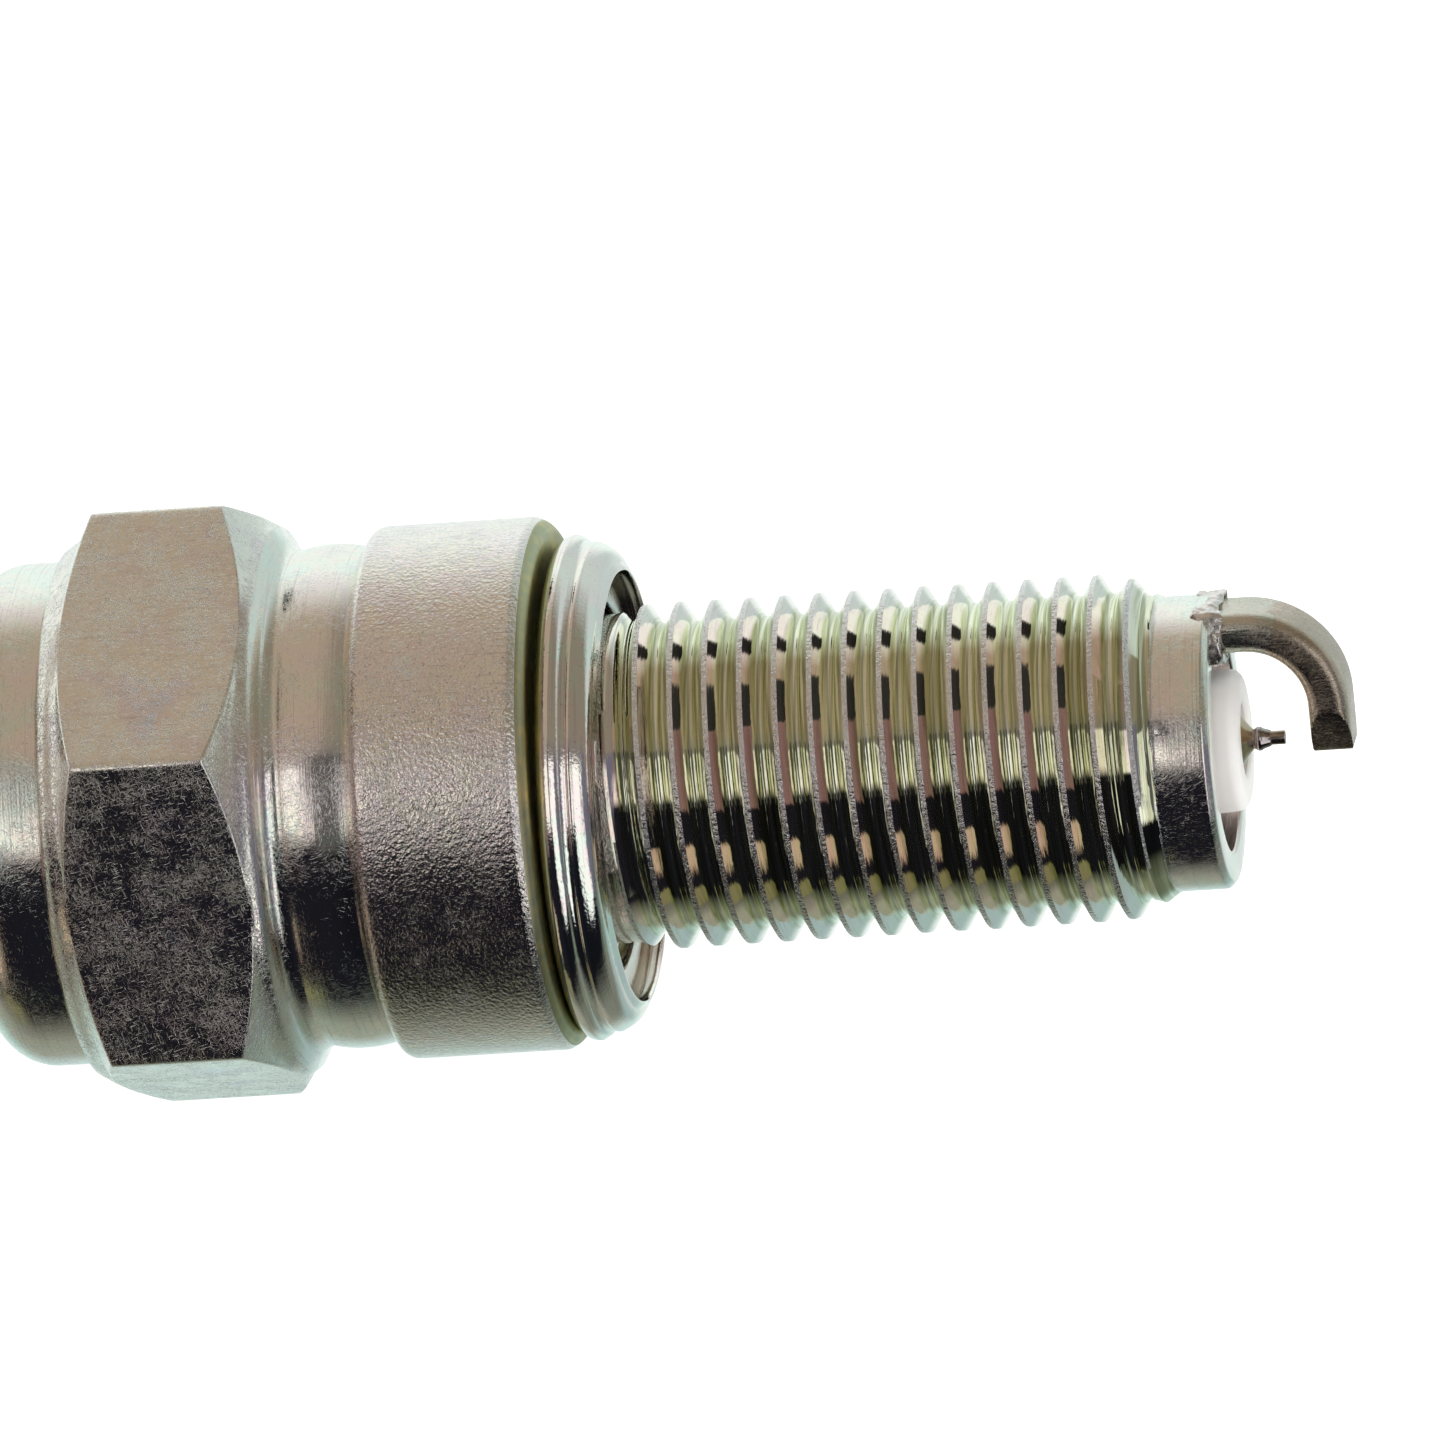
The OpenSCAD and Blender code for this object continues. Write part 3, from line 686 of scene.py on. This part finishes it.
def make_gasket():
    # The gasket's face towards the seat takes the painted gold reflection of the gap.
    def back(middle):
        return 1 if middle.x < 0.2 else 0

    finishes = [zinc_gasket, zinc_seat_painted_reflection]
    piece = lathe("folded_gasket", gasket_outline(), finishes, 224, wobble=gasket_wobble, crease=50,
                  pick=back)
    lean, turn = math.radians(GASKET_LEAN), math.radians(LEAN_TURN)
    c, s = math.cos(turn), math.sin(turn)
    to_lean = np.array([[1, 0, 0], [0, c, s], [0, -s, c]])
    c, s = math.cos(lean), math.sin(lean)
    tilt = np.array([[c, 0, s], [0, 1, 0], [-s, 0, c]])
    whole = to_lean @ tilt @ to_lean.T
    for vertex in piece.data.vertices:
        vertex.co = whole @ np.array(vertex.co) + np.array([GASKET_GAP, 0, -GASKET_DROP]) * MM
    fit(piece, "gasket", "sealing_gasket", "sealing_gasket")


make_gasket()

# ---------------------------------------------------------------- insulator
RIB_GROOVES = 6
RIB_PITCH = 2.5
RIB_ROOT_R, RIB_CENTRE_R = 0.95, 5.3
RIB_LAND_R = 5.0
FIRST_GROOVE = -40.6


def insulator_outline():
    """Glazed ribbed end, sealed shoulder in the shell, long leg and rounded nose, then the bore."""
    outer = [(-42.2, 1.95), (-42.2, 3.2)] + arc((-41.0, 3.85), 1.2, -62, -8, 8)
    reach = math.degrees(math.acos((RIB_CENTRE_R - RIB_LAND_R) / RIB_ROOT_R))
    for i in range(RIB_GROOVES):
        outer += arc((FIRST_GROOVE + i * RIB_PITCH, RIB_CENTRE_R), RIB_ROOT_R, 180 + reach, 180 - reach, 7)
    outer = rounded(outer, 0.16, 2)
    outer += [(-26.6, 5.05), (-20, 5.05), (-12.05, 5.05), (-11.5, 5.9)]
    outer += [(-6.6, 5.9), (-3.6, 3.35), (5.5, 3.35)]
    outer += [(6.1, 2.75), (10, 2.51), (15, 2.28)] + arc((19.15, 1.67), 0.35, -2, 90, 12)
    outer += [(19.5, 1.2), (19.47, 1.12), (19.4, 1.06), (15, 1.06), (0, 1.06), (-1.86, 1.06), (-2.75, 1.95)]
    return outer


fit(lathe("ceramic_insulator", insulator_outline(), alumina, 128), "plug", "insulator", "insulator")


# ---------------------------------------------------------------- centre electrode, tip and wire
def make_centre():
    rod = [(-3.4, 0), (-3.4, 1.5), (-3.3, 1.6), (-2.41, 1.6), (-1.81, 1.0)]
    rod += [(10, 1.0), (19.02, 1.0), (19.1, 0.985)]
    rod += [(19.19, 0.92), (19.4, 0.7), (19.55, 0.475), (19.64, 0.36), (19.7, 0.31), (19.7, 0)]
    fit(lathe("centre_electrode_rod", rod, electrode_alloy, 64, closed=False), "plug", "centre_electrode",
        "centre_electrode")
    bead = [(19.7, 0), (19.7, 0.285)] + arc((19.885, 0.2), 0.15, -50, 50, 7)
    bead += [(20.2, 0.235), (20.23, 0.2), (20.23, 0)]
    fit(lathe("tip_weld_bead", bead, bead_metal, 48, closed=False), "plug", "tip_weld", "tip_weld")
    wire_end = [(20.0, 0), (20.0, 0.2), (20.6, 0.2), (20.622, 0.19), (20.63, 0.17), (20.63, 0)]
    fit(lathe("iridium_wire", wire_end, iridium, 40, closed=False), "plug", "iridium_tip", "iridium_tip")


make_centre()

# ---------------------------------------------------------------- ground strap and its weld
STRAP_TURN = 35.0  # world angle of the strap's side of the axis, from +Z towards +Y
STRAP_W, STRAP_T, STRAP_END_W = 2.3, 1.15, 1.0
STRAP_OUT, STRAP_BEND_R, STRAP_BEND_X = 3.98, 2.85, 19.75
STRAP_PAST = 0.32  # how far its end passes the axis
TAPER_FROM = 0.95  # distance from the axis where the cut sides begin
STRAP_EDGE = 0.42  # radius of its long edges
STRAP_BREAK = 0.03  # how much smaller its end face is, for a broken edge
WELD_X = 19.0
WELD_STATIONS, WELD_COLUMNS = 180, 24


def strap_path():
    """Stations on the strap's outer face: place along, distance out, and angle it faces in degrees."""
    bend_q = STRAP_OUT - STRAP_BEND_R
    stations = [(x, STRAP_OUT, 0.0) for x in np.linspace(18.75, STRAP_BEND_X, 7)[:-1]]
    for a in np.linspace(0, 90, 31):
        turn = math.radians(a)
        x = STRAP_BEND_X + STRAP_BEND_R * math.sin(turn)
        stations.append((x, bend_q + STRAP_BEND_R * math.cos(turn), a))
    for q in np.linspace(bend_q, -STRAP_PAST, 20)[1:]:
        stations.append((STRAP_BEND_X + STRAP_BEND_R, q, 90.0))
    return stations


def strap_section(half_w, half_t, edge, count=5):
    """Rounded rectangle, anticlockwise, as (across, out) about its middle."""
    points = []
    for cx, cy, start in ((1, 1, 0), (-1, 1, 90), (-1, -1, 180), (1, -1, 270)):
        for a in np.radians(np.linspace(start, start + 90, count + 1)):
            across = cx * (half_w - edge) + edge * math.cos(a)
            points.append((across, cy * (half_t - edge) + edge * math.sin(a)))
    return points


def strap_place(x, q, across):
    """World place in metres of a point of the strap, from x, distance out along its turn, and across it."""
    turn = math.radians(STRAP_TURN)
    out = np.array([0, math.sin(turn), math.cos(turn)])
    side = np.array([0, math.cos(turn), -math.sin(turn)])
    return (np.array([x, 0, 0]) + q * out + across * side) * MM


def make_strap():
    """The strap, with both sides of its free end cut off by flat slanting faces."""
    points = []
    stations = strap_path()
    slope = (STRAP_W - STRAP_END_W) / 2 / (TAPER_FROM + STRAP_PAST)
    for i, (x, q, a) in enumerate(stations):
        turn = math.radians(a)
        normal = (math.sin(turn), math.cos(turn))
        shrink = 0.0 if i < len(stations) - 1 else STRAP_BREAK
        for across, out in strap_section(STRAP_W / 2 - shrink, STRAP_T / 2 - shrink, STRAP_EDGE - shrink, 7):
            depth = out - STRAP_T / 2
            place_q = q + depth * normal[1]
            cut = STRAP_END_W / 2 - shrink + max(place_q + STRAP_PAST, 0) * slope
            points.append(strap_place(x + depth * normal[0], place_q, max(min(across, cut), -cut)))
    ring = len(points) // len(stations)
    faces = grid_faces(len(stations), ring, 0)
    faces.append(tuple(range(ring)))
    faces.append(tuple(range(len(points) - ring, len(points))))
    piece = make_object("ground_strap", points, faces, [nickel_strap], crease=24)
    fit(piece, "plug", "ground_electrode", "ground_electrode")


make_strap()


def lumpy(points, size, depth, seed):
    """Points moved by smooth seeded lumps of that size and depth, both in mm."""
    rng = np.random.default_rng(seed)
    count = 24
    waves = rng.normal(size=(count, 3)) / size
    shifts = rng.uniform(0, 2 * math.pi, size=count)
    aims = rng.normal(size=(count, 3))
    moved = points / MM
    return (moved + depth * np.sin(moved @ waves.T + shifts) @ aims / 5) * MM


def make_weld():
    """Lumpy flash pushed out round the strap's root, longer and thinner at the outside."""
    section = np.array(strap_section(STRAP_W / 2 + 0.12, STRAP_T / 2 + 0.1, 0.3, 10))
    section = np.vstack([section, section[:1]])
    arcs = np.append(0, np.cumsum(np.linalg.norm(np.diff(section, axis=0), axis=1)))
    along = np.linspace(0, arcs[-1], WELD_STATIONS + 1)[:-1]
    ring = np.stack([np.interp(along, arcs, section[:, i]) for i in (0, 1)], axis=1)
    points = []
    for across, out in ring:
        outward = np.array([across / STRAP_W * 2, out / STRAP_T * 2])
        outward /= np.linalg.norm(outward)
        outer = 0.5 + 0.5 * math.tanh(4 * out)
        for a in even_columns(WELD_COLUMNS):
            c, s = math.cos(math.radians(a)), math.sin(math.radians(a))
            x = WELD_X - 0.2 * outer + (0.28 + 0.12 * outer) * s
            step = (0.22 - 0.12 * outer) * c
            place_q = STRAP_OUT - STRAP_T / 2 + out + step * outward[1]
            points.append(strap_place(x, place_q, across + step * outward[0]))
    points = lumpy(lumpy(np.array(points), 0.28, 0.045, 5), 0.1, 0.03, 6)
    faces = grid_faces(len(ring), WELD_COLUMNS, 0, wrap_rows=True)
    piece = make_object("ground_weld_flash", points, faces, [weld_metal], crease=60)
    fit(piece, "plug", "ground_weld", "ground_weld")


make_weld()


# ---------------------------------------------------------------- terminal
STUD_THREADS, STUD_PITCH, STUD_THREAD_FROM = 8, 0.7, -48.9


def make_terminal():
    """The stud with its outer threads as rings, and the hollow nut that a cap snaps over."""
    stud = [(-49.6, 0), (-49.6, 1.6), (-49.2, 2.0)]
    for k in range(STUD_THREADS):
        x = STUD_THREAD_FROM + STUD_PITCH * k
        stud += [(x, 2.0), (x + 0.05, 2.0), (x + 0.3, 1.6), (x + 0.4, 1.6), (x + 0.65, 2.0)]
    stud += [(-43.2, 2.0), (-42.9, 2.0), (-42.9, 2.9), (-42.82, 3.0)]
    stud += [(-42.28, 3.0), (-42.2, 2.9), (-42.2, 1.75)]
    stud += [(-19.4, 1.75), (-17.2, 1.4), (-17.2, 0)]
    piece = lathe("threaded_stud", stud, nickel_plate, 64, closed=False)
    fit(piece, "plug", "terminal_stud", "terminal_stud")
    front = -42.95
    nut = [(front, 2.04), (-50.2, 2.04), (-50.5, 2.34), (-50.5, 2.77)] + arc((-50.1, 2.775), 0.4, -88, 0, 8)
    waist = [(-48.2, 2.6), (-45.65, 2.6)]
    nut += rounded([(-49.6, 3.175), (-48.8, 3.175)] + waist + [(-45.05, 3.175), (-43.15, 3.175)], 0.12)
    nut += [(-43.05, 3.1), (front, 2.97)]
    fit(lathe("snap_terminal_nut", nut, nickel_plate, 96), "nut", "terminal_nut", "terminal_nut")


make_terminal()

# ---------------------------------------------------------------- inner pieces, kept from the frame
INNER = {
    "seat_washer": plain_steel,
    "lower_packing_ring": plain_steel,
    "upper_packing_ring": plain_steel,
    "talc_packing": talc,
    "upper_glass_seal": glass_seal,
    "lower_glass_seal": glass_seal,
    "resistor": resistor_glass,
    "copper_core": copper,
}
for node_name, finish in INNER.items():
    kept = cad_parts[node_name]
    kept.data.materials.clear()
    kept.data.materials.append(finish)

# ---------------------------------------------------------------- studio
FLOOR_Z = -HEX_HALF
WHITE_WALL = (0.95, 1.0, 1.0)
TAN_CARD = (0.40, 0.33, 0.26)
GREY_CARD = (0.30, 0.28, 0.28)
STRIP_LIGHT = (0.95, 0.88, 0.85)
BLACK_FLAG = (0.01, 0.01, 0.015)
NEAR_FLOOR = (0.32, 0.34, 0.28)
FAR_FLOOR = (0.60, 0.75, 0.75)
FIRST_ANGLE = -90  # where the turn of panels starts and ends
# The room round the plug as a few broad panels, from and to an angle round its axis: 0 faces up
# in the picture, 90 the camera, 180 down and 270 behind. Neighbours fade into each other.
PANELS = [
    (-90, -30, WHITE_WALL),
    (0, 60, TAN_CARD),
    (75, 85, GREY_CARD),
    (95, 105, STRIP_LIGHT),
    (112, 195, BLACK_FLAG),
    (220, 235, NEAR_FLOOR),
    (250, 256, FAR_FLOOR),
    (266, 270, WHITE_WALL),
]

# Smaller cards and soft boxes in front of the panels. Each has a span in the share of a direction
# that runs along +X, a span in angle, and a brightness. A later card covers an earlier one.
CARDS = [
    (-0.55, -0.35, -30, -15, (0.02, 0.02, 0.02)),
    (-0.90, -0.60, 10, 50, (0.03, 0.03, 0.03)),
    (-0.95, -0.60, 50, 125, (0.22, 0.14, 0.14)),
    (-0.90, -0.55, 155, 185, (0.50, 0.40, 0.30)),
    (-0.60, -0.30, 190, 205, (0.20, 0.20, 0.10)),
    (-0.60, -0.25, 75, 105, (1.0, 1.0, 0.95)),
    (-0.10, 0.35, 70, 115, (0.10, 0.10, 0.10)),
    (0.40, 0.60, 75, 110, (1.05, 1.05, 1.05)),
    (0.65, 0.85, 75, 170, (1.05, 1.05, 1.05)),
    (0.85, 1.00, 60, 200, (0.15, 0.15, 0.20)),
]
FRONT_SHADE = (0.6, 0.65, 0.65)  # the room is darker beyond the firing end
SHADE_SPAN = (0.04, 0.24)  # share along +X over which that shade comes in
CARD_FADE, CARD_FADE_TURN = 0.02, 1.5  # half width of a card's soft edge, along and round the axis


def make_world():
    """The studio that the plug mirrors, by direction alone; the camera itself sees plain white."""
    world = bpy.data.worlds.new("studio")
    bpy.context.scene.world = world
    world.use_nodes = True
    tree = world.node_tree
    tree.nodes.clear()
    aim = add(tree, "ShaderNodeTexCoord").outputs["Generated"]
    turn = math.radians(PSI_TOP)
    up = (0, math.sin(turn), math.cos(turn))
    out = (0, -math.cos(turn), math.sin(turn))

    def part(direction):
        dot = add(tree, "ShaderNodeVectorMath", {0: aim, 1: direction}, operation="DOT_PRODUCT")
        return dot.outputs["Value"]

    angle = maths(tree, "ARCTAN2", part(out), part(up))
    turns = maths(tree, "MULTIPLY_ADD", angle, 1 / (2 * math.pi), 1 - FIRST_ANGLE / 360)
    round_axis = maths(tree, "FRACT", turns)
    stops = []
    for start, end, colour in PANELS:
        stops += [((edge - FIRST_ANGLE) / 360, colour) for edge in (start, end)]
    sides = ramp(tree, round_axis, stops)
    axial = part((1, 0, 0))
    degrees = maths(tree, "MULTIPLY_ADD", round_axis, 360, FIRST_ANGLE)
    shade = mix(tree, spread(tree, axial, *SHADE_SPAN, smooth=True), (1, 1, 1), FRONT_SHADE)
    sides = mix(tree, 1.0, sides, shade, "MULTIPLY")
    for near, far, start, end, colour in CARDS:
        card = 1.0
        for value, fade, low, high in ((axial, CARD_FADE, near, far), (degrees, CARD_FADE_TURN, start, end)):
            rise = spread(tree, value, low - fade, low + fade, smooth=True)
            fall = spread(tree, value, high - fade, high + fade, 1, 0, smooth=True)
            card = maths(tree, "MULTIPLY", card, maths(tree, "MULTIPLY", rise, fall))
        sides = mix(tree, card, sides, colour)
    seen = add(tree, "ShaderNodeLightPath").outputs["Is Camera Ray"]
    shown = mix(tree, seen, sides, (1, 1, 1))
    background = add(tree, "ShaderNodeBackground", {"Color": shown, "Strength": 1.0})
    output = add(tree, "ShaderNodeOutputWorld")
    tree.links.new(background.outputs[0], output.inputs["Surface"])


def make_floor():
    """Pale floor that glows so evenly that the plug throws next to no shadow."""
    half = 3.0  # metres
    corners = [(-half, -half), (half, -half), (half, half), (-half, half)]
    mesh = bpy.data.meshes.new("floor")
    mesh.from_pydata([(x, y, FLOOR_Z * MM) for x, y in corners], [], [(0, 1, 2, 3)])
    floor = bpy.data.objects.new("floor", mesh)
    bpy.context.scene.collection.objects.link(floor)
    material, tree, shader, coords = new_material("floor_white")
    cloud = noise(tree, coords, 3, 2.0, 0.5)
    tone = mix(tree, cloud, (0.80, 0.80, 0.80), (0.82, 0.82, 0.82))
    wire(tree, shader, Base_Color=tone, Roughness=0.8, Emission_Color=(1, 1, 1), Emission_Strength=0.95)
    mesh.materials.append(material)
    floor.visible_glossy = False


FILL_PLACE = (0.1, 0.25, 0.6)  # metres along the camera's right, up and back directions


def make_fill():
    """Broad soft light for the ceramic, which the metal doesn't mirror, placed from the camera's axes."""
    data = bpy.data.lights.new("fill", "AREA")
    data.size = 0.5
    data.energy = 2.5
    lamp = bpy.data.objects.new("fill", data)
    bpy.context.scene.collection.objects.link(lamp)
    axes = camera_axes()
    matrix = np.eye(4)
    matrix[:3, :3] = axes.T
    matrix[:3, 3] = axes.T @ np.array(FILL_PLACE)
    lamp.matrix_world = Matrix(matrix.tolist())
    lamp.visible_glossy = False
    lamp.visible_camera = False


make_world()
make_floor()
make_fill()
bpy.context.scene.view_settings.view_transform = "Standard"
